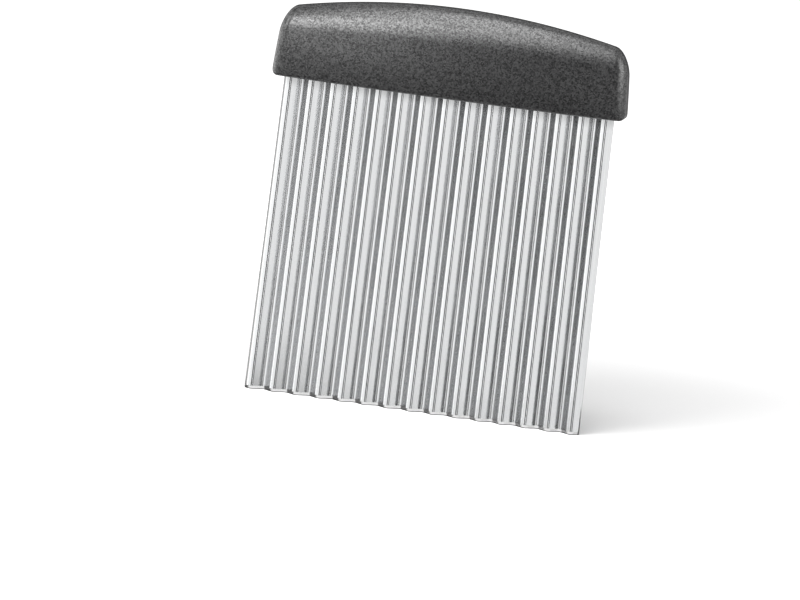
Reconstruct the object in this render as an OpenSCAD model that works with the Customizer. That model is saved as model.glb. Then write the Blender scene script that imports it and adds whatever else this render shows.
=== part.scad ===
// Crinkle cutter: a corrugated steel blade held in a two-shell push handle.
// X runs along the blade, Y from front to back, and Z up from the cutting edge.

/* [Blade] */
// Width of the blade at the handle
blade_w = 99.5; // [70:0.5:130]
// How much wider the blade is at its cutting edge, where the waves open a little
edge_spread = 2.4; // [0:0.2:4]
// Height of the blade below the handle
blade_drop = 95; // [60:0.5:120]
// Depth of the tang inside the handle
tang_h = 14; // [13:0.5:15]
// Size of the cut on each upper corner of the tang
tang_corner = 3; // [1:0.5:5]
// Thickness of the steel sheet
sheet_t = 0.8; // [0.5:0.1:1]
// Distance from one crest to the next
wave_pitch = 6.8; // [6:0.2:8]
// Depth of the waves, measured at the middle of the sheet
wave_depth = 2.2; // [2:0.1:2.8]
// Radius of each bend, measured at the middle of the sheet
bend_r = 1.2; // [1:0.1:1.4]
// Distance from the left edge to the first crest
first_crest = 1.9; // [0.5:0.1:3]
// Height of the bevels along the cutting edge
bevel_h = 1; // [0.5:0.1:2]
// Width of the flat left on the cutting edge
edge_flat = 0.1; // [0.1:0.05:0.3]

/* [Handle] */
// Height of the handle at its middle
handle_h = 26.6; // [24:0.2:30]
// How far the top falls from the middle to the ends
arch_drop = 6.1; // [2:0.1:7]
// Depth of the handle at the middle of its length
handle_depth = 17.2; // [16:0.2:22]
// Depth of the handle just inside its ends
end_depth = 10.4; // [10:0.2:16]
// How far the handle reaches past the blade at each end
end_past = 3.7; // [3:0.1:8]
// Height of the shallow waist above the base
waist_h = 13; // [10:0.5:14]
// How far the waist draws in on each side
waist_in = 0.5; // [0:0.1:0.8]
// Height of the handle's widest line above the base
belly_h = 6; // [4:0.5:8]
// How far the base draws in on each side
base_in = 0.4; // [0:0.1:0.8]
// Length over which the top rolls down at each end
corner_len = 4.4; // [4:0.2:10]
// Rounding of the corners between the sides and the ends, seen from above
nose_r = 3.6; // [1:0.2:4]
// Rounding of the lower corner at each end, seen from the front
foot_r = 2; // [0.6:0.2:2]
// Lean of the ends, in degrees
end_lean = 4; // [0:0.5:6]
// Rounding of the rim round the base
rim_r = 0.8; // [0.4:0.1:1.2]
// Wall of the shells round their hollows
wall = 2.4; // [1.8:0.2:2.8]
// Thickness of the ribs between the hollows
rib_t = 2; // [1.2:0.2:3]
// Number of hollows between one pin and the next
bay_count = 4; // [2:1:5]

/* [Slot seal] */
// Thickness of the handle's lips, which hold the seal's neck between them
lip_h = 3; // [2:0.5:4]
// Height of the seal's flange above the lips
flange_h = 3; // [2:0.5:4]
// How far the seal's face lies inside the handle's mouth
seal_recess = 0.4; // [0:0.1:1]
// Rubber between the crests and the lips
neck_wall = 0.8; // [0.6:0.1:1.2]
// How far the flange stands out past the neck
flange_past = 1.2; // [0.8:0.1:1.4]
// Gap between the seal and the blade
seal_gap = 0.05; // [0.05:0.01:0.1]
// Gap between the seal and the shells
seal_fit = 0.1; // [0.05:0.05:0.2]

/* [Pins and pegs] */
// Diameter of the pins through the tang
pin_d = 3; // [2:0.5:3.5]
// Length of the pins
pin_len = 9; // [7:0.5:9.5]
// Radial gap between a pin and its bores in the shells
pin_gap = 0.02; // [0.01:0.01:0.05]
// Radial gap between a pin and its hole in the tang
tang_gap = 0.15; // [0.1:0.05:0.3]
// Gap past each end of a pin
pin_end_gap = 0.2; // [0.1:0.1:0.4]
// Chamfer on the ends of pins and pegs
end_chamfer = 0.3; // [0.1:0.1:0.5]
// Length of solid shell left along the handle at each pin
pin_block = 8; // [6:0.5:10]
// Gap between the tang and its pocket
pocket_gap = 0.2; // [0.1:0.05:0.4]
// Diameter of the pegs that line up the shells
peg_d = 2.4; // [2:0.2:3]
// Length of the pegs past the seam
peg_len = 2.5; // [2:0.5:3]
// Gap round the pegs in their sockets
peg_gap = 0.1; // [0.05:0.05:0.2]

/* [Hidden] */

FRONT = -1;
REAR = 1;
$fn = 48;

// Waves: two bends and the flat flank between them fill half a wave
half_pitch = wave_pitch / 2;
bend_spare = 2 * bend_r - wave_depth;
flank_angle = asin(2 * bend_r / norm([half_pitch, bend_spare])) - atan2(bend_spare, half_pitch);
bend_y = wave_depth / 2 - bend_r;
wave_reach = (wave_depth + sheet_t) / 2;
crest_count = floor((blade_w - first_crest) / wave_pitch) + 1;

// Crests that the pins pass through
PIN_CRESTS = [1, floor(crest_count / 2), crest_count - 2];

// Handle: its outline is a row of sections from end to end
half_len = blade_w / 2 + end_past;
lean = tan(end_lean);
// The ends close to a narrow flat just short of a full quarter turn
end_turn = 0.98;
// Flat faces that stand for each rounded stretch
MID_STEPS = 8;
END_STEPS = 8;
BEND_STEPS = 6;
RIM_STEPS = 2;
BELLY_STEPS = 2;
SIDE_STEPS = 3;
CROWN_STEPS = 9;
BAY_CROWN_STEPS = 4;

// Seal
neck_half_w = blade_w / 2 + neck_wall;
neck_half_d = wave_reach + neck_wall;
flange_half_d = neck_half_d + flange_past;
seal_h = lip_h + flange_h;

// Places in the handle, above its base
bay_floor = seal_h + rib_t;
pin_rise = (seal_h + tang_h) / 2;
peg_rise = tang_h + pocket_gap + peg_d;

function crest_x(k) = first_crest - blade_w / 2 + k * wave_pitch;
function spread_at(z) = 1 + edge_spread / blade_w * max(0, 1 - z / blade_drop);
function pin_x(i) = crest_x(PIN_CRESTS[i]);

function reverse(list) = [for (i = [len(list) - 1:-1:0]) list[i]];

// Closed solid through a row of rings with equal numbers of points, clockwise as seen from the row's end
module loft(rings) {
  count = len(rings);
  size = len(rings[0]);
  walls = [
    for (i = [0:count - 2], j = [0:size - 1])
      let (a = i * size + j, b = i * size + (j + 1) % size, c = b + size, d = a + size)
      each [[a, c, d], [a, b, c]]
  ];
  start = [for (j = [size - 1:-1:0]) j];
  finish = [for (j = [0:size - 1]) (count - 1) * size + j];
  points = [for (ring = rings) each ring];
  polyhedron(points = points, faces = concat(walls, [start, finish]), convexity = 10);
}

// Outline of the handle

function end_round(x, reach) =
  let (past = max(0, abs(x) - half_len + reach) / reach)
  sqrt(1 - pow(end_turn * past, 2));

function top_at(x) =
  waist_h + (handle_h - waist_h - arch_drop * pow(x / half_len, 2)) * end_round(x, corner_len);

function half_depth_at(x) =
  let (side_depth = handle_depth - (handle_depth - end_depth) * pow(x / half_len, 2))
  side_depth / 2 - nose_r * (1 - end_round(x, nose_r));

function base_at(x) = foot_r * (1 - end_round(x, foot_r));

function side_in(z) =
  z < belly_h ? base_in * pow(1 - z / belly_h, 2) : waist_in * pow((z - belly_h) / (waist_h - belly_h), 2);

// Half a section at x, from the middle of the base out and up to the middle of the top, as [depth, height]
function section(x) =
  let (
    depth = half_depth_at(x),
    base = base_at(x),
    side_foot = base + rim_r,
    rim_depth = depth - side_in(side_foot) - rim_r,
    crown = top_at(x) - waist_h
  )
  concat(
    [[0, base]],
    [for (i = [0:RIM_STEPS]) let (a = 90 * i / RIM_STEPS)
      [rim_depth + rim_r * sin(a), side_foot - rim_r * cos(a)]],
    [for (i = [1:BELLY_STEPS]) let (z = side_foot + (belly_h - side_foot) * i / BELLY_STEPS)
      [depth - side_in(z), z]],
    [for (i = [1:SIDE_STEPS]) let (z = belly_h + (waist_h - belly_h) * i / SIDE_STEPS)
      [depth - side_in(z), z]],
    [for (i = [1:CROWN_STEPS]) let (a = 90 * i / CROWN_STEPS)
      [(depth - waist_in) * cos(a), waist_h + crown * sin(a)]]
  );

// Places of the sections, closer together where the ends round off
function stations() =
  let (
    straight = half_len - corner_len,
    bend = [for (i = [1:END_STEPS]) straight + corner_len * sin(90 * i / END_STEPS)]
  )
  concat(
    [for (i = [END_STEPS - 1:-1:0]) -bend[i]],
    [for (i = [-MID_STEPS:MID_STEPS]) straight * i / MID_STEPS],
    bend
  );

// One half of the handle's solid outer form, with its flat side on the seam
module handle_half(side) {
  translate([0, 0, blade_drop])
    loft([
      for (x = stations())
        let (half = section(x), outline = side == FRONT ? half : reverse(half))
        [for (p = outline) [x - x / half_len * lean * p[1], side * p[0], p[1]]]
    ]);
}

// Sheet of waves

// Middle line of the sheet, as [x, y, heading], where a bend turns from one flank to the next
function wave_path() = [
  for (k = [-1:crest_count]) each concat(
    [for (i = [0:BEND_STEPS]) let (a = flank_angle * (2 * i / BEND_STEPS - 1))
      [crest_x(k) + bend_r * sin(a), -bend_y - bend_r * cos(a), a]],
    [for (i = [0:BEND_STEPS]) let (a = flank_angle * (1 - 2 * i / BEND_STEPS))
      [crest_x(k) + half_pitch - bend_r * sin(a), bend_y + bend_r * cos(a), a]]
  )
];

// Sweeps an upright outline, drawn as [depth, height] about the middle of the sheet, along the waves
module wave_sheet(outline) {
  loft([
    for (p = wave_path())
      [for (q = outline) [(p[0] - q[0] * sin(p[2])) * spread_at(q[1]), p[1] + q[0] * cos(p[2]), q[1]]]
  ]);
}

// Front view of the blade, grown by a gap on its sides and top
module blade_outline(gap) {
  half = blade_w / 2 + gap;
  edge_half = half * spread_at(0);
  top = blade_drop + tang_h + gap;
  rotate([90, 0, 0])
    linear_extrude(2 * neck_half_d, center = true)
      polygon([
        [-edge_half, 0], [edge_half, 0], [half, blade_drop],
        [half, top - tang_corner], [half - tang_corner, top],
        [tang_corner - half, top], [-half, top - tang_corner], [-half, blade_drop]
      ]);
}

// Parts of the handle's inside

// Cylinder along Y through the middle of a pin or peg
module cross_rod(d, length) {
  rotate([90, 0, 0]) cylinder(d = d, h = length, center = true);
}

module at_pin(i) {
  translate([pin_x(i), 0, blade_drop + pin_rise]) children();
}

module at_peg(i) {
  translate([pin_x(i), 0, blade_drop + peg_rise]) children();
}

// Block with the seal's neck and flange, grown by a gap for its seat, from a height in the handle's mouth
module seal_block(gap, start) {
  w = 2 * (neck_half_w + gap);
  translate([-w / 2, -neck_half_d - gap, blade_drop + start])
    cube([w, 2 * (neck_half_d + gap), seal_h - start]);
  translate([-w / 2, -flange_half_d - gap, blade_drop + lip_h - gap])
    cube([w, 2 * (flange_half_d + gap), flange_h + 2 * gap]);
}

module tang_pocket() {
  intersection() {
    blade_outline(pocket_gap);
    translate([-half_len, -wave_reach - pocket_gap, blade_drop])
      cube([2 * half_len, 2 * (wave_reach + pocket_gap), handle_h]);
  }
}

// Hollow between two ribs, which keeps the wall inside the handle's outline
module bay(side, x0, x1) {
  outer = max(abs(x0), abs(x1));
  depth = half_depth_at(outer) - waist_in - wall;
  crown = top_at(outer) - waist_h - wall;
  outline = concat(
    [[0, bay_floor], [depth, bay_floor]],
    [for (i = [0:BAY_CROWN_STEPS]) let (a = 90 * i / BAY_CROWN_STEPS)
      [depth * cos(a), waist_h + crown * sin(a)]]
  );
  translate([x0, 0, blade_drop])
    rotate([90, 0, 90])
      linear_extrude(x1 - x0) polygon([for (p = outline) [side * p[0], p[1]]]);
}

module bays(side) {
  for (i = [0, 1]) {
    start = pin_x(i) + pin_block / 2;
    bay_w = (pin_x(i + 1) - pin_block / 2 - start + rib_t) / bay_count - rib_t;
    for (j = [0:bay_count - 1])
      bay(side, start + j * (bay_w + rib_t), start + j * (bay_w + rib_t) + bay_w);
  }
}

module shell(side) {
  difference() {
    handle_half(side);
    seal_block(seal_fit, -seal_fit);
    tang_pocket();
    bays(side);
    for (i = [0:2]) at_pin(i) cross_rod(pin_d + 2 * pin_gap, pin_len + 2 * pin_end_gap);
  }
}

// Dowel along Y with chamfered ends
module dowel(d, length) {
  r = d / 2;
  rotate([90, 0, 0])
    rotate_extrude()
      polygon([
        [0, -length / 2], [r - end_chamfer, -length / 2], [r, end_chamfer - length / 2],
        [r, length / 2 - end_chamfer], [r - end_chamfer, length / 2], [0, length / 2]
      ]);
}

// Pieces

module blade() {
  top = blade_drop + tang_h;
  color("gainsboro")
    difference() {
      intersection() {
        wave_sheet([
          [edge_flat / 2, 0], [-edge_flat / 2, 0], [-sheet_t / 2, bevel_h],
          [-sheet_t / 2, blade_drop], [-sheet_t / 2, top],
          [sheet_t / 2, top], [sheet_t / 2, blade_drop], [sheet_t / 2, bevel_h]
        ]);
        blade_outline(0);
      }
      for (i = [0:2]) at_pin(i) cross_rod(pin_d + 2 * tang_gap, 2 * neck_half_d);
    }
}

module front_shell() {
  color("#2b2b2c") {
    shell(FRONT);
    for (i = [0:2])
      at_peg(i) dowel(peg_d, 2 * peg_len);
  }
}

module rear_shell() {
  color("#2b2b2c")
    difference() {
      shell(REAR);
      for (i = [0:2])
        at_peg(i) cross_rod(peg_d + 2 * peg_gap, 2 * (peg_len + peg_gap));
    }
}

module slot_seal() {
  half = sheet_t / 2 + seal_gap;
  top = blade_drop + handle_h;
  color("#1c1c1c")
    difference() {
      seal_block(0, seal_recess);
      intersection() {
        wave_sheet([
          [half, 0], [-half, 0], [-half, blade_drop],
          [-half, top], [half, top], [half, blade_drop]
        ]);
        blade_outline(seal_gap);
      }
    }
}

module tang_pin(i) {
  color("silver") at_pin(i) dowel(pin_d, pin_len);
}

blade();
front_shell();
rear_shell();
slot_seal();
tang_pin(0);  // left_tang_pin
tang_pin(1);  // middle_tang_pin
tang_pin(2);  // right_tang_pin
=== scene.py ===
"""Looks of a crinkle cutter: a corrugated steel blade held in a two-shell push handle."""

import math

import bmesh
import bpy
from mathutils import Matrix, Vector


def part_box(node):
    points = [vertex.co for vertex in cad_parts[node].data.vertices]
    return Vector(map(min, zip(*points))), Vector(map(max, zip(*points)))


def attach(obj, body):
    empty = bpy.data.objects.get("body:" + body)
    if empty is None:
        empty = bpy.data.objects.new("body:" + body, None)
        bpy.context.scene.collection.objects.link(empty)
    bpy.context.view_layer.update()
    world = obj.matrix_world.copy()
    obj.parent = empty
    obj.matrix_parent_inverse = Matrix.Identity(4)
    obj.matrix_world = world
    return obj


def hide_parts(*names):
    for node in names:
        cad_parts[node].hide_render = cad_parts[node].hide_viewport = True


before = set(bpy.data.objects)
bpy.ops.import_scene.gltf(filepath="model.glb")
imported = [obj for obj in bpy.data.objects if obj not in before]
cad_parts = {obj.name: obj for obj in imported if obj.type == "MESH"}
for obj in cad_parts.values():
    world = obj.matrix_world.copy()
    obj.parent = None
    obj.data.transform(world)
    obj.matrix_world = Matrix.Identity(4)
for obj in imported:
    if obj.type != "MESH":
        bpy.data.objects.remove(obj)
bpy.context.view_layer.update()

MM = 0.001
FRONT = -1
REAR = 1
PIN_NODES = ("left_tang_pin", "middle_tang_pin", "right_tang_pin")

# Places that the frame gives
blade_low, blade_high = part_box("blade")
shell_low, shell_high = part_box("front_shell")
seal_low, seal_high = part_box("slot_seal")
pin_boxes = [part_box(name) for name in PIN_NODES]
PINS = [(low + high) / 2 for low, high in pin_boxes]
PIN_D = pin_boxes[0][1].z - pin_boxes[0][0].z
PIN_LEN = pin_boxes[0][1].y - pin_boxes[0][0].y
BASE_Z = shell_low.z
HANDLE_H = shell_high.z - shell_low.z
HANDLE_DEPTH = -2 * shell_low.y
TANG_TOP = blade_high.z

# Sizes of the blade
EDGE_SPREAD = 2.4 * MM
BLADE_HALF = blade_high.x - EDGE_SPREAD / 2
TANG_CORNER = 3 * MM
SHEET = 0.8 * MM
WAVE_DEPTH = 2 * blade_high.y - SHEET
HALF_PITCH = 3.4 * MM
BEND_R = 1.2 * MM
FIRST_CREST = 1.9 * MM - BLADE_HALF
BEVEL_H = 1 * MM
EDGE_FLAT = 0.1 * MM
SIDE_CHAMFER = 0.24 * MM
SIDE_EDGE_SHARE = 0.5  # of the sheet's thickness, left by the chamfers
TANG_HOLE_GAP = 0.15 * MM
DRILL_LEN = 6.4 * MM
BEND_SPARE = 2 * BEND_R - WAVE_DEPTH
BEND_LEAN = math.atan2(BEND_SPARE, HALF_PITCH)
FLANK_ANGLE = math.asin(2 * BEND_R / math.hypot(HALF_PITCH, BEND_SPARE)) - BEND_LEAN
BEND_CENTRE = WAVE_DEPTH / 2 - BEND_R

# Painted shade on the blade: a dark line along the cutting edge, a dark strip along the left cut edge,
# and darker steel under the handle
EDGE_SHADOW_H = 0.3 * MM
LEFT_EDGE_SHADE_W = 1 * MM
HANDLE_SHADE_H = 4 * MM

# Sizes of the handle
END_PAST = 3.7 * MM
HALF_LEN = BLADE_HALF + END_PAST
ARCH_DROP = 6.1 * MM
END_DEPTH = 10.4 * MM
WAIST_H = 13 * MM
WAIST_IN = 0.5 * MM
BELLY_H = 6 * MM
BASE_IN = 0.4 * MM
FILLET_DOWN = 3 * MM
FILLET_UP = 0.3  # of the crown's height
CORNER_LEN = 4.4 * MM
NOSE_R = 3.6 * MM
FOOT_R = 2 * MM
RIM_R = 0.8 * MM
END_LEAN = math.tan(math.radians(4))
END_TURN = 0.98  # of the way along a quarter ellipse, which leaves the end a small flat
SEAM_CHAMFER = 0.12 * MM

# Sizes inside the handle
SEAL_FIT = 0.1 * MM
LIP_H = 3 * MM
SEAL_FLANGE_PAST = 1.2 * MM
POCKET_GAP = 0.2 * MM
WALL = 2.4 * MM
RIB = 2 * MM
PIN_BLOCK = 8 * MM
PIN_GAP = 0.02 * MM
PIN_END_GAP = 0.2 * MM
BAY_COUNT = 4
PEG_D = 2.4 * MM
PEG_LEN = 2.5 * MM
PEG_GAP = 0.1 * MM
PEG_CHAMFER = 0.3 * MM
PEG_Z = TANG_TOP + POCKET_GAP + PEG_D
BAY_FLOOR = seal_high.z + RIB

# Fineness of the meshes
WAVE_COLUMNS = 880
BLADE_ROWS = 12
MID_STATIONS = 72
END_STATIONS = 28
RIM_STEPS = 6
SIDE_STEPS = 8
FILLET_STEPS = 12
CROWN_STEPS = 36
BAY_STEPS = 13  # odd, so that no point of a hollow's roof lies on the seam
ROUND_STEPS = 48
BLADE_SHARP = math.radians(15)
HANDLE_SHARP = math.radians(32)


def even_steps(start, end, count):
    """Evenly spaced values from start to end, both included."""
    return [start + (end - start) * i / count for i in range(count + 1)]


# Node trees


class Formula:
    """A value in a node tree. Arithmetic on it adds Math nodes, so that a rule reads as on paper."""

    def __init__(self, tree, socket):
        self.tree = tree
        self.socket = socket

    def math(self, operation, *others):
        values = dict(enumerate((self, *others)))
        node = add_node(self.tree, "ShaderNodeMath", values, operation=operation)
        return Formula(self.tree, node.outputs[0])

    def __add__(self, other):
        return self.math("ADD", other)

    def __sub__(self, other):
        return self.math("SUBTRACT", other)

    def __mul__(self, other):
        return self.math("MULTIPLY", other)

    def __truediv__(self, other):
        return self.math("DIVIDE", other)

    def least(self, other):
        return self.math("MINIMUM", other)

    def most(self, other):
        return self.math("MAXIMUM", other)


def join(tree, value, slot):
    """Feeds a node's input with a formula, a socket or a plain value."""
    if isinstance(value, Formula):
        tree.links.new(value.socket, slot)
    elif isinstance(value, bpy.types.NodeSocket):
        tree.links.new(value, slot)
    else:
        slot.default_value = value


def add_node(tree, kind, inputs=None, **settings):
    """Node of a kind, with its settings and its inputs by name or number."""
    node = tree.nodes.new(kind)
    for name, value in settings.items():
        setattr(node, name, value)
    for key, value in (inputs or {}).items():
        join(tree, value, node.inputs[key])
    return node


def shader_group(name, inputs, outputs):
    """Shader node group with named inputs and outputs, and its input values and output sockets."""
    tree = bpy.data.node_groups.new(name, "ShaderNodeTree")
    for label, kind in inputs.items():
        tree.interface.new_socket(label, in_out="INPUT", socket_type=kind)
    for label in outputs:
        tree.interface.new_socket(label, in_out="OUTPUT", socket_type="NodeSocketFloat")
    source = tree.nodes.new("NodeGroupInput")
    values = {label: Formula(tree, source.outputs[label]) for label in inputs}
    return tree, values, tree.nodes.new("NodeGroupOutput").inputs


def noise(tree, vector, scale, detail):
    """Smooth noise from 0 to 1."""
    node = add_node(tree, "ShaderNodeTexNoise", {"Vector": vector, "Scale": scale, "Detail": detail})
    return Formula(tree, node.outputs["Fac"])


def fade(tree, value, start, finish):
    """Smooth rise from 0 to 1 as a value goes from start to finish."""
    node = add_node(
        tree, "ShaderNodeMapRange", {"Value": value, "From Min": start, "From Max": finish},
        interpolation_type="SMOOTHSTEP",
    )
    return Formula(tree, node.outputs["Result"])


def blend_colours(tree, share, first, second):
    """Colour between two others by a share."""
    node = add_node(tree, "ShaderNodeMix", {0: share, 6: first, 7: second}, data_type="RGBA")
    return node.outputs[2]


def bump(tree, height, depth):
    """Surface normal over a height that runs from 0 to 1 and is a depth in metres."""
    inputs = {"Height": height, "Distance": depth, "Strength": 1.0}
    return add_node(tree, "ShaderNodeBump", inputs).outputs["Normal"]


def grey(level):
    return (level, level, level, 1.0)


# Shared effects

BROAD_STREAKS = 0.16  # as many as fine ones
FINE_GRAINS = 2.1  # times as many as coarse ones
COARSE_SHARE = 0.6  # of the grain's height
WEAR_STARTS = 0.42  # level of noise at which a patch begins
WEAR_IS_FULL = 0.66


def drawn_lines_group():
    """Fine streaks that run the way the metal was drawn, turned or ground."""
    sockets = {"Vector": "NodeSocketVector", "Lines Per Metre": "NodeSocketVector"}
    tree, value, output = shader_group("drawn_lines", sockets, ["Fine", "Broad"])
    stretched = add_node(
        tree, "ShaderNodeVectorMath",
        {0: value["Vector"], 1: value["Lines Per Metre"]}, operation="MULTIPLY",
    ).outputs[0]
    join(tree, noise(tree, stretched, scale=1.0, detail=3.0), output["Fine"])
    join(tree, noise(tree, stretched, scale=BROAD_STREAKS, detail=2.0), output["Broad"])
    return tree


def fine_grain_group():
    """Pits and grains of a moulded skin: their height, and a value for each grain from 0 to 1."""
    sockets = {"Vector": "NodeSocketVector", "Grains Per Metre": "NodeSocketFloat"}
    tree, value, output = shader_group("fine_grain", sockets, ["Height", "Grains"])
    coarse = noise(tree, value["Vector"], value["Grains Per Metre"], detail=1.0)
    fine = noise(tree, value["Vector"], value["Grains Per Metre"] * FINE_GRAINS, detail=1.0)
    join(tree, coarse * COARSE_SHARE + fine * (1 - COARSE_SHARE), output["Height"])
    cells = add_node(
        tree, "ShaderNodeTexVoronoi", {"Vector": value["Vector"], "Scale": value["Grains Per Metre"]},
    )
    channels = add_node(tree, "ShaderNodeSeparateColor", {0: cells.outputs["Color"]})
    join(tree, channels.outputs[0], output["Grains"])
    return tree


def handling_wear_group():
    """Uneven patches where hands and washing have changed a surface."""
    sockets = {"Vector": "NodeSocketVector", "Patches Per Metre": "NodeSocketFloat"}
    tree, value, output = shader_group("handling_wear", sockets, ["Patches"])
    patches = noise(tree, value["Vector"], value["Patches Per Metre"], detail=3.0)
    join(tree, fade(tree, patches, WEAR_STARTS, WEAR_IS_FULL), output["Patches"])
    return tree


DRAWN_LINES = drawn_lines_group()
FINE_GRAIN = fine_grain_group()
HANDLING_WEAR = handling_wear_group()


def use_group(tree, group, inputs):
    """A shared effect placed in a material, as its output values by name."""
    node = add_node(tree, "ShaderNodeGroup", inputs, node_tree=group)
    return {socket.name: Formula(tree, socket) for socket in node.outputs}


def new_material(name):
    """Material with its node tree, its shader's inputs and its Object coordinates."""
    material = bpy.data.materials.new(name)
    material.use_nodes = True
    tree = material.node_tree
    coordinates = tree.nodes.new("ShaderNodeTexCoord").outputs["Object"]
    return material, tree, tree.nodes["Principled BSDF"].inputs, coordinates


# Blade steel

ROLLED_LINES = (9000.0, 9000.0, 60.0)
GROUND_LINES = (7000.0, 7000.0, 900.0)
STEEL_PATCHES = 70.0
SATIN_COLOURS = (0.70, 0.71, 0.72, 1.0), (0.80, 0.805, 0.81, 1.0)
# painted shade under the handle
HANDLE_SHADE_COLOUR = grey(0.3)
# painted shade along the left cut edge
LEFT_EDGE_SHADE_COLOUR = grey(0.2)
GROUND_COLOURS = grey(0.72), grey(0.88)
# painted shadow along the very cutting edge
EDGE_SHADOW_COLOUR = grey(0.1)
GROUND_BLEND = 0.04  # of the bevel's height, on either side of its upper line
STEEL_ROUGHNESS = 0.1
STREAK_ROUGHNESS = 0.04
STEEL_WEAR_ROUGHNESS = 0.03
GROUND_ROUGHNESS = 0.08
STEEL_LINE_DEPTH = 0.004 * MM


def blade_steel():
    """Satin stainless sheet with fine lines down the waves and a ground cutting edge, and painted shade
    under the handle, along the left cut edge and on the very cutting edge.
    """
    material, tree, shader, place = new_material("satin_blade_steel")
    lines = use_group(tree, DRAWN_LINES, {"Vector": place, "Lines Per Metre": ROLLED_LINES})
    grind = use_group(tree, DRAWN_LINES, {"Vector": place, "Lines Per Metre": GROUND_LINES})
    wear = use_group(tree, HANDLING_WEAR, {"Vector": place, "Patches Per Metre": STEEL_PATCHES})
    axes = add_node(tree, "ShaderNodeSeparateXYZ", {0: place}).outputs
    across, height = (Formula(tree, axes[name]) for name in ("X", "Z"))

    satin = blend_colours(tree, lines["Broad"], *SATIN_COLOURS)
    # Painted shade: darker, streaked steel in the last few millimetres under the handle, where the
    # handle's shade falls
    painted_handle_shade = fade(tree, height, BASE_Z - HANDLE_SHADE_H, BASE_Z) * lines["Fine"]
    satin_with_painted_shade = blend_colours(tree, painted_handle_shade, satin, HANDLE_SHADE_COLOUR)
    # Painted shade: a dark strip along the left cut edge, standing for the dark reflection of a rounded
    # edge
    from_left = across - height * (EDGE_SPREAD / 2 / BASE_Z) - blade_low.x
    painted_left_edge_shade = fade(tree, from_left, LEFT_EDGE_SHADE_W, LEFT_EDGE_SHADE_W / 2)
    plain = blend_colours(tree, painted_left_edge_shade, satin_with_painted_shade, LEFT_EDGE_SHADE_COLOUR)

    bright = blend_colours(tree, grind["Fine"], *GROUND_COLOURS)
    # Painted shadow: a dark line along the lowest few tenths of a millimetre of the cutting edge
    painted_edge_shadow = fade(tree, height, EDGE_SHADOW_H, EDGE_SHADOW_H / 2)
    edge = blend_colours(tree, painted_edge_shadow, bright, EDGE_SHADOW_COLOUR)
    ground = fade(tree, height, BEVEL_H * (1 + GROUND_BLEND), BEVEL_H * (1 - GROUND_BLEND))
    join(tree, blend_colours(tree, ground, plain, edge), shader["Base Color"])

    marks = lines["Broad"] * STREAK_ROUGHNESS + wear["Patches"] * STEEL_WEAR_ROUGHNESS
    join(tree, marks + ground * GROUND_ROUGHNESS + STEEL_ROUGHNESS, shader["Roughness"])
    join(tree, bump(tree, lines["Fine"], STEEL_LINE_DEPTH), shader["Normal"])
    shader["Metallic"].default_value = 1.0
    return material


# Handle plastic

PLASTIC_GRAINS = 2600.0
PLASTIC_PATCHES = 45.0
PLASTIC_COLOURS = (0.003, 0.003, 0.0032, 1.0), (0.026, 0.026, 0.0265, 1.0)
PLASTIC_ROUGHNESS = 0.32
HAND_POLISH = 0.03  # off the roughness of worn patches
PEAK_POLISH = 0.04  # off the roughness of the grain's peaks
PLASTIC_GRAIN_DEPTH = 0.07 * MM
GRAIN_COAT = 0.95
COAT_ROUGHNESS = 0.3
PLASTIC_SHINE = 0.3


def handle_plastic():
    """Black moulded plastic with a spark-eroded skin, polished a little by hands."""
    material, tree, shader, place = new_material("spark_eroded_handle_plastic")
    grain = use_group(tree, FINE_GRAIN, {"Vector": place, "Grains Per Metre": PLASTIC_GRAINS})
    wear = use_group(tree, HANDLING_WEAR, {"Vector": place, "Patches Per Metre": PLASTIC_PATCHES})
    join(tree, blend_colours(tree, grain["Grains"], *PLASTIC_COLOURS), shader["Base Color"])
    polish = wear["Patches"] * -HAND_POLISH + grain["Height"] * -PEAK_POLISH
    join(tree, polish + PLASTIC_ROUGHNESS, shader["Roughness"])
    join(tree, bump(tree, grain["Height"], PLASTIC_GRAIN_DEPTH), shader["Normal"])
    join(tree, grain["Grains"] * GRAIN_COAT, shader["Coat Weight"])
    shader["Coat Roughness"].default_value = COAT_ROUGHNESS
    shader["Specular IOR Level"].default_value = PLASTIC_SHINE
    return material


# Seal rubber

RUBBER_GRAINS = 2600.0
RUBBER_PATCHES = 120.0
RUBBER_COLOURS = grey(0.012), grey(0.024)
RUBBER_ROUGHNESS = 0.66
BLOOM_ROUGHNESS = 0.16
RUBBER_GRAIN_DEPTH = 0.03 * MM


def seal_rubber():
    """Soft black rubber with a fine bloom."""
    material, tree, shader, place = new_material("soft_seal_rubber")
    grain = use_group(tree, FINE_GRAIN, {"Vector": place, "Grains Per Metre": RUBBER_GRAINS})
    wear = use_group(tree, HANDLING_WEAR, {"Vector": place, "Patches Per Metre": RUBBER_PATCHES})
    join(tree, blend_colours(tree, wear["Patches"], *RUBBER_COLOURS), shader["Base Color"])
    join(tree, grain["Height"] * BLOOM_ROUGHNESS + RUBBER_ROUGHNESS, shader["Roughness"])
    join(tree, bump(tree, grain["Height"], RUBBER_GRAIN_DEPTH), shader["Normal"])
    return material


# Pin steel

PIN_RINGS = (300.0, 9000.0, 300.0)
PIN_PATCHES = 400.0
PIN_COLOURS = grey(0.55), grey(0.66)
PIN_ROUGHNESS = 0.28
RING_ROUGHNESS = 0.1
PIN_WEAR_ROUGHNESS = 0.08
PIN_RING_DEPTH = 0.004 * MM


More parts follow.
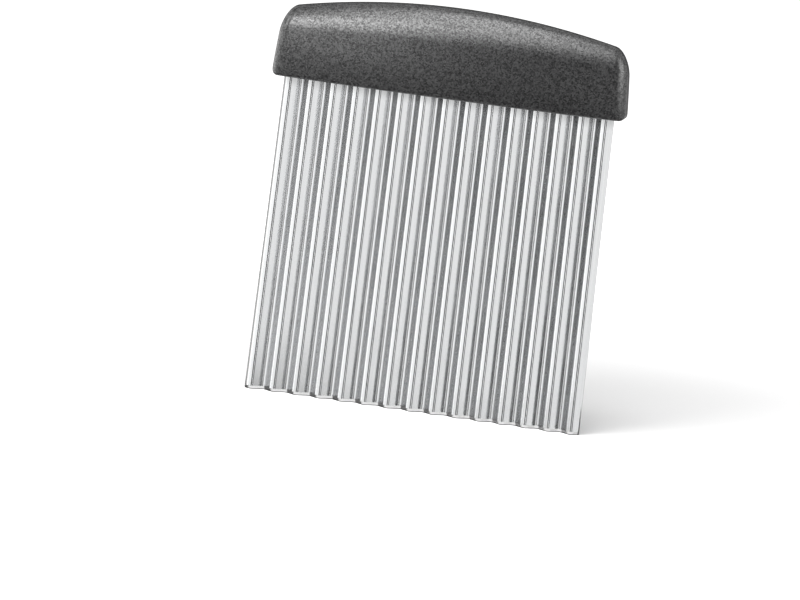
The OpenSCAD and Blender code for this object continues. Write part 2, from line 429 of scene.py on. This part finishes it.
def pin_steel():
    """Turned dowel steel with fine rings round its length."""
    material, tree, shader, place = new_material("turned_pin_steel")
    rings = use_group(tree, DRAWN_LINES, {"Vector": place, "Lines Per Metre": PIN_RINGS})
    wear = use_group(tree, HANDLING_WEAR, {"Vector": place, "Patches Per Metre": PIN_PATCHES})
    join(tree, blend_colours(tree, rings["Broad"], *PIN_COLOURS), shader["Base Color"])
    marks = rings["Fine"] * RING_ROUGHNESS + wear["Patches"] * PIN_WEAR_ROUGHNESS
    join(tree, marks + PIN_ROUGHNESS, shader["Roughness"])
    join(tree, bump(tree, rings["Fine"], PIN_RING_DEPTH), shader["Normal"])
    shader["Metallic"].default_value = 1.0
    return material


BLADE_STEEL = blade_steel()
HANDLE_PLASTIC = handle_plastic()
SEAL_RUBBER = seal_rubber()
PIN_STEEL = pin_steel()


def dress(thing, material):
    """Gives a piece or a carried-over solid its one finish."""
    slots = thing.data.materials
    slots.clear()
    slots.append(material)


# Solids


def add_object(name, data):
    thing = bpy.data.objects.new(name, data)
    bpy.context.scene.collection.objects.link(thing)
    return thing


def loft(name, rings):
    """Closed solid through a row of rings with equal numbers of points."""
    mesh = bpy.data.meshes.new(name)
    build = bmesh.new()
    rows = [[build.verts.new(point) for point in ring] for ring in rings]
    count = len(rows[0])
    for row, following in zip(rows, rows[1:]):
        for j in range(count):
            k = (j + 1) % count
            build.faces.new((row[j], row[k], following[k], following[j]))
    build.faces.new(rows[0][::-1])
    build.faces.new(rows[-1])
    bmesh.ops.recalc_face_normals(build, faces=build.faces)
    build.to_mesh(mesh)
    build.free()
    return add_object(name, mesh)


def prism_along_x(name, outline, start, end):
    """Prism of an outline in y and z."""
    return loft(name, [[Vector((x, y, z)) for y, z in outline] for x in (start, end)])


def prism_along_y(name, outline, start, end):
    """Prism of an outline in x and z."""
    return loft(name, [[Vector((x, y, z)) for x, z in outline] for y in (start, end)])


def rod(name, centre, steps):
    """Round rod along Y through a row of radii and distances from its centre."""
    angles = [2 * math.pi * (i + 0.5) / ROUND_STEPS for i in range(ROUND_STEPS)]
    return loft(name, [
        [centre + Vector((radius * math.cos(a), y, radius * math.sin(a))) for a in angles]
        for radius, y in steps
    ])


def plain_mesh(piece):
    """Turns a piece with its modifiers into a plain mesh."""
    evaluated = piece.evaluated_get(bpy.context.evaluated_depsgraph_get())
    mesh = bpy.data.meshes.new_from_object(evaluated)
    piece.modifiers.clear()
    piece.data = mesh
    mesh.name = piece.name


def shape_with(piece, tools, operation):
    """Cuts a piece with other solids, or adds them to it."""
    for tool in tools:
        step = piece.modifiers.new(tool.name, "BOOLEAN")
        step.operation = operation
        step.object = tool
        step.solver = "EXACT"
    plain_mesh(piece)
    for tool in tools:
        bpy.data.objects.remove(tool)


def smooth_but_for(mesh, angle):
    """Smooth shading that keeps the edges sharper than an angle."""
    mesh.shade_smooth()
    mesh.set_sharp_from_angle(angle=angle)


# Blade piece

BLADE_SIZES = {
    "Half Width": BLADE_HALF,
    "Edge Spread": EDGE_SPREAD,
    "Drop": BASE_Z,
    "Top": TANG_TOP,
    "Corner Cut": TANG_CORNER,
    "Sheet": SHEET,
    "Edge Flat": EDGE_FLAT,
    "Bevel Height": BEVEL_H,
    "Side Chamfer": SIDE_CHAMFER,
    "Half Pitch": HALF_PITCH,
    "Bend Radius": BEND_R,
    "Bend Centre": BEND_CENTRE,
    "Flank Angle": FLANK_ANGLE,
    "First Crest": FIRST_CREST,
    "Hole Radius": PIN_D / 2 + TANG_HOLE_GAP,
    "First Hole": PINS[0].x,
    "Hole Spacing": PINS[1].x - PINS[0].x,
    "Hole Height": PINS[0].z,
    "Drill Length": DRILL_LEN,
}


def sheet_place(tree, size):
    """Where each point of a unit block goes, so that the block becomes a waved sheet."""
    position = tree.nodes.new("GeometryNodeInputPosition").outputs[0]
    unit = add_node(tree, "ShaderNodeSeparateXYZ", {0: position})
    along, side, row = (Formula(tree, socket) for socket in unit.outputs)
    across = along * size["Half Width"] * 2
    side = side * 2
    row = (row + 0.5) * BLADE_ROWS
    above_bevel = (row - 1).most(0) * (size["Top"] - size["Bevel Height"]) / (BLADE_ROWS - 1)
    height = row.least(1) * size["Bevel Height"] + above_bevel
    thickness = size["Edge Flat"] + row.least(1) * (size["Sheet"] - size["Edge Flat"])
    from_side = size["Half Width"] - across.math("ABSOLUTE")
    past_chamfer = (from_side / size["Side Chamfer"]).least(1)
    thickness = thickness * (past_chamfer * (1 - SIDE_EDGE_SHARE) + SIDE_EDGE_SHARE)

    offset = side * thickness / 2
    crest_r = size["Bend Radius"] - offset
    trough_r = size["Bend Radius"] + offset
    sine = size["Flank Angle"].math("SINE")
    cosine = size["Flank Angle"].math("COSINE")
    from_crest = (across - size["First Crest"]).math("PINGPONG", size["Half Pitch"])
    to_trough = size["Half Pitch"] - from_crest
    crest_end = crest_r * sine
    trough_end = trough_r * sine
    on_crest = from_crest.least(crest_end)
    on_flank = from_crest.most(crest_end).least(size["Half Pitch"] - trough_end) - crest_end
    on_trough = to_trough.least(trough_end)
    crest_y = (crest_r * crest_r - on_crest * on_crest).math("SQRT") + size["Bend Centre"]
    trough_y = (trough_r * trough_r - on_trough * on_trough).math("SQRT") - trough_r * cosine
    depth = on_flank * sine / cosine + trough_y - crest_y

    below_handle = (size["Drop"] - height).most(0) / size["Drop"]
    spread = size["Edge Spread"] / (size["Half Width"] * 2) * below_handle + 1
    cut = (across.math("ABSOLUTE") - size["Half Width"] + size["Corner Cut"]).most(0)
    tang = size["Top"] - size["Drop"]
    in_tang = (height - size["Drop"]).most(0)
    lift = height.least(size["Drop"]) + in_tang * (tang - cut) / tang
    return add_node(tree, "ShaderNodeCombineXYZ", {0: across * spread, 1: depth, 2: lift}).outputs[0]


def pin_holes(tree, size):
    """Row of rods that the tang's holes are cut with."""
    start = add_node(tree, "ShaderNodeCombineXYZ", {0: size["First Hole"], 2: size["Hole Height"]})
    step = add_node(tree, "ShaderNodeCombineXYZ", {0: size["Hole Spacing"]})
    points = add_node(
        tree, "GeometryNodeMeshLine",
        {"Count": len(PINS), "Start Location": start.outputs[0], "Offset": step.outputs[0]},
    )
    drill = add_node(
        tree, "GeometryNodeMeshCylinder",
        {"Vertices": ROUND_STEPS, "Radius": size["Hole Radius"], "Depth": size["Drill Length"]},
    )
    turned = add_node(
        tree, "GeometryNodeTransform",
        {"Geometry": drill.outputs["Mesh"], "Rotation": (math.pi / 2, 0.0, 0.0)},
    )
    placed = add_node(
        tree, "GeometryNodeInstanceOnPoints",
        {"Points": points.outputs["Mesh"], "Instance": turned.outputs["Geometry"]},
    )
    return add_node(tree, "GeometryNodeRealizeInstances", {0: placed.outputs[0]}).outputs[0]


def wave_blade_tree():
    """Geometry tree of the corrugated blade, with its sizes as named inputs."""
    tree = bpy.data.node_groups.new("wave_blade", "GeometryNodeTree")
    for label in BLADE_SIZES:
        tree.interface.new_socket(label, in_out="INPUT", socket_type="NodeSocketFloat")
    tree.interface.new_socket("Geometry", in_out="OUTPUT", socket_type="NodeSocketGeometry")
    source = tree.nodes.new("NodeGroupInput")
    size = {label: Formula(tree, source.outputs[label]) for label in BLADE_SIZES}
    block = add_node(
        tree, "GeometryNodeMeshCube",
        {"Vertices X": WAVE_COLUMNS, "Vertices Y": 2, "Vertices Z": BLADE_ROWS + 1},
    )
    waved = add_node(
        tree, "GeometryNodeSetPosition",
        {"Geometry": block.outputs["Mesh"], "Position": sheet_place(tree, size)},
    )
    drilled = add_node(
        tree, "GeometryNodeMeshBoolean",
        {"Mesh 1": waved.outputs[0], "Mesh 2": pin_holes(tree, size)}, operation="DIFFERENCE",
    )
    whole = add_node(tree, "GeometryNodeRealizeInstances", {0: drilled.outputs["Mesh"]})
    finished = add_node(
        tree, "GeometryNodeSetMaterial", {"Geometry": whole.outputs[0], "Material": BLADE_STEEL},
    )
    output = tree.nodes.new("NodeGroupOutput")
    join(tree, finished.outputs[0], output.inputs["Geometry"])
    return tree


def waved_blade():
    """The corrugated blade, with its bevelled edge and drilled tang."""
    piece = add_object("waved_blade", bpy.data.meshes.new("waved_blade"))
    modifier = piece.modifiers.new("waves", "NODES")
    modifier.node_group = wave_blade_tree()
    for socket in modifier.node_group.interface.items_tree:
        if socket.in_out == "INPUT":
            modifier[socket.identifier] = BLADE_SIZES[socket.name]
    plain_mesh(piece)
    smooth_but_for(piece.data, BLADE_SHARP)
    return piece


# Handle shells


def end_round(x, reach):
    """Share of a height or depth that is left where the handle's end rounds off over a reach."""
    past = max(0.0, abs(x) - HALF_LEN + reach) / reach
    return math.sqrt(1 - (END_TURN * past) ** 2)


def top_at(x):
    """Height of the arched top above the base."""
    arch = HANDLE_H - WAIST_H - ARCH_DROP * (x / HALF_LEN) ** 2
    return WAIST_H + arch * end_round(x, CORNER_LEN)


def half_depth_at(x):
    """Depth of one half at its widest line."""
    side_depth = HANDLE_DEPTH - (HANDLE_DEPTH - END_DEPTH) * (x / HALF_LEN) ** 2
    return side_depth / 2 - NOSE_R * (1 - end_round(x, NOSE_R))


def side_in(z):
    """How far the side draws in from the handle's widest line, towards its base or its waist."""
    if z < BELLY_H:
        return BASE_IN * (1 - z / BELLY_H) ** 2
    return WAIST_IN * ((z - BELLY_H) / (WAIST_H - BELLY_H)) ** 2


def waist_fillet(depth, crown):
    """Smooth curve that rounds out the crease at the waist, from the side to the crown."""
    cosine = math.sqrt(1 - FILLET_UP ** 2)
    low = WAIST_H - FILLET_DOWN
    high = WAIST_H + FILLET_UP * crown
    start = Vector((depth - side_in(low), low))
    end = Vector(((depth - WAIST_IN) * cosine, high))
    low_slope = -2 * WAIST_IN * (low - BELLY_H) / (WAIST_H - BELLY_H) ** 2
    high_slope = -(depth - WAIST_IN) / crown * FILLET_UP / cosine
    meet = (end.x - start.x + low_slope * low - high_slope * high) / (low_slope - high_slope)
    turn = Vector((start.x + low_slope * (meet - low), meet))
    shares = even_steps(0, 1, FILLET_STEPS)
    return [start * (1 - t) ** 2 + turn * 2 * t * (1 - t) + end * t ** 2 for t in shares]


def section(x):
    """Half a section at x as depths and heights, from the seam at the base round to the seam on top."""
    depth = half_depth_at(x)
    base = FOOT_R * (1 - end_round(x, FOOT_R))
    foot = base + RIM_R
    rim_depth = depth - side_in(foot) - RIM_R
    crown = top_at(x) - WAIST_H
    seam = max(0.0, SEAM_CHAMFER - HALF_LEN + abs(x))
    quarter = math.pi / 2
    rim = even_steps(0, quarter, RIM_STEPS)
    side = even_steps(foot, BELLY_H, SIDE_STEPS)[1:-1]
    side += even_steps(BELLY_H, WAIST_H - FILLET_DOWN, SIDE_STEPS)[:-1]
    roof = even_steps(math.asin(FILLET_UP), quarter, CROWN_STEPS)[1:-1]
    points = [(seam, base + SEAM_CHAMFER), (seam + SEAM_CHAMFER, base)]
    points += [(rim_depth + RIM_R * math.sin(a), foot - RIM_R * math.cos(a)) for a in rim]
    points += [(depth - side_in(z), z) for z in side]
    points += waist_fillet(depth, crown)
    points += [((depth - WAIST_IN) * math.cos(a), WAIST_H + crown * math.sin(a)) for a in roof]
    points += [(seam + SEAM_CHAMFER, WAIST_H + crown), (seam, WAIST_H + crown - SEAM_CHAMFER)]
    return points


def stations():
    """Places of the sections along the handle, closer together where the ends round off."""
    straight = HALF_LEN - CORNER_LEN
    turns = [math.sin(a) for a in even_steps(0, math.pi / 2, END_STATIONS)[1:]]
    right = [straight + CORNER_LEN * turn for turn in turns]
    middle = even_steps(-straight, straight, MID_STATIONS)
    return [-x for x in reversed(right)] + middle + right


def half_handle(name, side):
    """One half of the handle's outer form, with its flat side on the seam."""
    return loft(name, [
        [Vector((x * (1 - END_LEAN * z / HALF_LEN), side * y, BASE_Z + z)) for y, z in section(x)]
        for x in stations()
    ])


def seal_seat():
    """Room for the seal's neck between the lips and for its flange above them."""
    neck = -seal_low.y - SEAL_FLANGE_PAST + SEAL_FIT
    flange = -seal_low.y + SEAL_FIT
    low = BASE_Z - SEAL_FIT
    step = BASE_Z + LIP_H - SEAL_FIT
    top = seal_high.z + SEAL_FIT
    half = [(neck, low), (neck, step), (flange, step), (flange, top)]
    outline = half + [(-y, z) for y, z in reversed(half)]
    reach = seal_high.x + SEAL_FIT
    return prism_along_x("seal_seat", outline, -reach, reach)


def tang_pocket():
    """Room for the tang, with its cut corners."""
    half = BLADE_HALF + POCKET_GAP
    top = TANG_TOP + POCKET_GAP
    depth = blade_high.y + POCKET_GAP
    right = [(half, BASE_Z), (half, top - TANG_CORNER), (half - TANG_CORNER, top)]
    outline = right + [(-x, z) for x, z in reversed(right)]
    return prism_along_y("tang_pocket", outline, -depth, depth)


def bay(start, end):
    """Hollow between two ribs, right across the seam."""
    outer = max(abs(start), abs(end))
    depth = half_depth_at(outer) - WAIST_IN - WALL
    crown = top_at(outer) - WAIST_H - WALL
    angles = even_steps(0, math.pi, BAY_STEPS)
    roof = [(depth * math.cos(a), BASE_Z + WAIST_H + crown * math.sin(a)) for a in angles]
    return prism_along_x("bay", [(-depth, BAY_FLOOR), (depth, BAY_FLOOR), *roof], start, end)


def bays():
    """All the hollows between the ribs."""
    hollows = []
    for left, right in zip(PINS, PINS[1:]):
        start = left.x + PIN_BLOCK / 2
        width = (right.x - PIN_BLOCK / 2 - start + RIB) / BAY_COUNT - RIB
        places = [start + i * (width + RIB) for i in range(BAY_COUNT)]
        hollows += [bay(place, place + width) for place in places]
    return hollows


def pin_bores():
    """Blind bores that the pins sit in."""
    radius = PIN_D / 2 + PIN_GAP
    reach = PIN_LEN / 2 + PIN_END_GAP
    return [rod("pin_bore", pin, [(radius, -reach), (radius, reach)]) for pin in PINS]


def peg_places():
    return [Vector((pin.x, 0.0, PEG_Z)) for pin in PINS]


def pegs():
    """Moulded pegs that line up the shells."""
    radius = PEG_D / 2
    tip = radius - PEG_CHAMFER
    neck = PEG_LEN - PEG_CHAMFER
    steps = [(tip, -PEG_LEN), (radius, -neck), (radius, neck), (tip, PEG_LEN)]
    return [rod("peg", place, steps) for place in peg_places()]


def peg_sockets():
    """Holes that the pegs go into."""
    radius = PEG_D / 2 + PEG_GAP
    reach = PEG_LEN + PEG_GAP
    return [rod("socket", place, [(radius, -reach), (radius, reach)]) for place in peg_places()]


def handle_shell(name, side):
    """One moulded shell of the handle, hollow inside."""
    piece = half_handle(name, side)
    shape_with(piece, [seal_seat(), tang_pocket(), *bays(), *pin_bores()], "DIFFERENCE")
    if side == FRONT:
        shape_with(piece, pegs(), "UNION")
    else:
        shape_with(piece, peg_sockets(), "DIFFERENCE")
    dress(piece, HANDLE_PLASTIC)
    smooth_but_for(piece.data, HANDLE_SHARP)
    return piece


# Pieces on the frame

for piece, node, finish in (
    (waved_blade(), "blade", "blade_steel"),
    (handle_shell("moulded_front_shell", FRONT), "front_shell", "handle_plastic"),
    (handle_shell("moulded_rear_shell", REAR), "rear_shell", "handle_plastic"),
):
    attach(piece, "root")
    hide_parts(node)

dress(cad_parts["slot_seal"], SEAL_RUBBER)
for name in PIN_NODES:
    dress(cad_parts[name], PIN_STEEL)

# Camera

VIEW_AZIMUTH = math.radians(8.6)
VIEW_ELEVATION = math.radians(8.0)
VIEW_ROLL = math.radians(6.85)
VIEW_DISTANCE = 1.5
VIEW_AIM = Vector((-7.2 * MM, 0.0, 32.8 * MM))
FRAME_WIDTH = 800
PIXELS_PER_METRE = 3352.7


def direction(azimuth, elevation):
    """Unit vector out from the object, where azimuth 0 is straight in front and turns to the right."""
    flat = math.cos(elevation)
    return Vector((math.sin(azimuth) * flat, -math.cos(azimuth) * flat, math.sin(elevation)))


def add_camera():
    """Camera at the photograph's viewing angle."""
    data = bpy.data.cameras.new("camera")
    data.lens = data.sensor_width * PIXELS_PER_METRE * VIEW_DISTANCE / FRAME_WIDTH
    camera = add_object("camera", data)
    back = direction(VIEW_AZIMUTH, VIEW_ELEVATION)
    level = Vector((0, 0, 1)).cross(back).normalized()
    upright = back.cross(level)
    right = level * math.cos(VIEW_ROLL) + upright * math.sin(VIEW_ROLL)
    up = back.cross(right)
    turn = Matrix((right, up, back)).transposed().to_4x4()
    camera.matrix_world = Matrix.Translation(VIEW_AIM + back * VIEW_DISTANCE) @ turn
    bpy.context.scene.camera = camera


add_camera()

# Studio

STUDIO_MIDDLE = Vector((0.0, 0.0, 60 * MM))
CARD_DISTANCE = 0.9
CARD_STEPS = 12
SOFTBOX_DISTANCE = 0.8
WORLD_LIGHT = 0.3
FLOOR_HALF = 3.0
FLOOR_WHITE = 0.72
LIT_FLOOR_R = 0.1  # the floor is lit by the lamps alone up to here
PLAIN_FLOOR_R = 0.45  # and shows as plain white from here on
RING = (-14, 12)  # elevations of the cards that stand round the object

# Cards and panels by azimuths and elevations in degrees, with the brightness that a mirror shows
CARDS = {
    "far_left_panel": ((-130, -78), RING, 2.05),
    "left_panel": ((-78, -9.5), RING, 1.27),
    "dark_front_card": ((-9.5, 12), RING, 0.08),
    "front_strip": ((12, 22.5), RING, 1.4),
    "dark_right_card": ((22.5, 37.5), RING, 0.04),
    "right_panel": ((37.5, 120), RING, 1.02),
    "dark_lower_card": ((-130, 130), (-38, RING[0]), 0.1),
    "dark_upper_card": ((-12, 60), (RING[1], 40), 0.12),
    "dark_rear_card": ((140, 220), (0, 48), 0.12),
    "dark_back_strip": ((160, 182), (-56, 0), 0.08),
    "dark_back_side_strip": ((196, 212), (-56, 0), 0.08),
}

# Softboxes by azimuth and elevation in degrees, width and height in metres, and brightness in a mirror
SOFTBOXES = {
    "key_softbox": (-13, 52, (0.46, 0.54), 6.2),
    "left_softbox": (-30, 29, (0.36, 0.36), 10.0),
    "far_left_softbox": (-74, 26, (0.36, 0.4), 4.5),
    "top_softbox": (-15, 80, (0.3, 0.3), 7.0),
    "right_softbox": (72, 24, (0.58, 0.49), 5.0),
}


def stage_mesh(name, points, faces, material):
    """Mesh that belongs to the studio."""
    mesh = bpy.data.meshes.new(name)
    mesh.from_pydata(points, [], faces)
    mesh.materials.append(material)
    thing = add_object(name, mesh)
    return thing


def seen_by_eye_or_mirror(tree):
    """1 for rays that show the surroundings as such, and 0 for those that only light things."""
    path = tree.nodes.new("ShaderNodeLightPath").outputs
    names = ("Is Camera Ray", "Is Glossy Ray", "Is Transmission Ray")
    eye, mirror, glass = (Formula(tree, path[name]) for name in names)
    return eye.most(mirror).most(glass)


def bare_material(name):
    """Material without a shader, with its node tree and the socket for its surface."""
    material = bpy.data.materials.new(name)
    material.use_nodes = True
    tree = material.node_tree
    tree.nodes.clear()
    return material, tree, tree.nodes.new("ShaderNodeOutputMaterial").inputs["Surface"]


def floor_material():
    """White paper that keeps the shadow near the object."""
    material, tree, surface = bare_material("white_floor")
    place = tree.nodes.new("ShaderNodeTexCoord").outputs["Object"]
    distance = add_node(tree, "ShaderNodeVectorMath", {0: place}, operation="LENGTH").outputs["Value"]
    far = fade(tree, distance, LIT_FLOOR_R, PLAIN_FLOOR_R)
    paper = add_node(tree, "ShaderNodeBsdfDiffuse", {"Color": grey(FLOOR_WHITE)})
    glow = add_node(tree, "ShaderNodeEmission", {"Strength": seen_by_eye_or_mirror(tree) * far})
    both = add_node(tree, "ShaderNodeAddShader", {0: paper.outputs[0], 1: glow.outputs[0]})
    join(tree, both.outputs[0], surface)
    return material


def card_material(name, level):
    """Even card that shows one brightness in reflections."""
    material, tree, surface = bare_material(name)
    glow = add_node(tree, "ShaderNodeEmission", {"Strength": level})
    join(tree, glow.outputs[0], surface)
    return material


def add_floor():
    """Floor that mirrors look through, to the cards and the white beyond."""
    corners = [(x * FLOOR_HALF, y * FLOOR_HALF, 0) for x, y in ((-1, -1), (1, -1), (1, 1), (-1, 1))]
    floor = stage_mesh("floor", corners, [(0, 1, 2, 3)], floor_material())
    floor.visible_glossy = False


def add_card(name, azimuths, elevations, level):
    """Curved card or light panel round the object, hidden from the eye so that it bars no view."""
    start, end = (math.radians(a) for a in azimuths)
    rises = [math.tan(math.radians(e)) for e in elevations]
    angles = even_steps(start, end, CARD_STEPS)
    outward = [Vector((math.sin(a), -math.cos(a), rise)) for a in angles for rise in rises]
    points = [STUDIO_MIDDLE + way * CARD_DISTANCE for way in outward]
    faces = [(2 * i, 2 * i + 2, 2 * i + 3, 2 * i + 1) for i in range(CARD_STEPS)]
    thing = stage_mesh(name, points, faces, card_material(name, level))
    thing.visible_camera = False


def add_softbox(name, azimuth, elevation, size, level):
    """Even rectangular lamp that faces the object."""
    data = bpy.data.lights.new(name, "AREA")
    data.shape = "RECTANGLE"
    data.size, data.size_y = size
    data.energy = level * math.pi * size[0] * size[1]
    lamp = add_object(name, data)
    out = direction(math.radians(azimuth), math.radians(elevation))
    lamp.location = STUDIO_MIDDLE + out * SOFTBOX_DISTANCE
    lamp.rotation_euler = out.to_track_quat("Z", "Y").to_euler()
    lamp.visible_camera = False


def add_world():
    """White surroundings for eye and mirror, and plain light for the rest."""
    world = bpy.data.worlds.new("studio")
    bpy.context.scene.world = world
    world.use_nodes = True
    tree = world.node_tree
    background = tree.nodes["Background"].inputs
    background["Color"].default_value = grey(1.0)
    strength = seen_by_eye_or_mirror(tree) * (1 - WORLD_LIGHT) + WORLD_LIGHT
    join(tree, strength, background["Strength"])


add_floor()
add_world()
for name, values in CARDS.items():
    add_card(name, *values)
for name, values in SOFTBOXES.items():
    add_softbox(name, *values)

bpy.context.scene.view_settings.view_transform = "Standard"
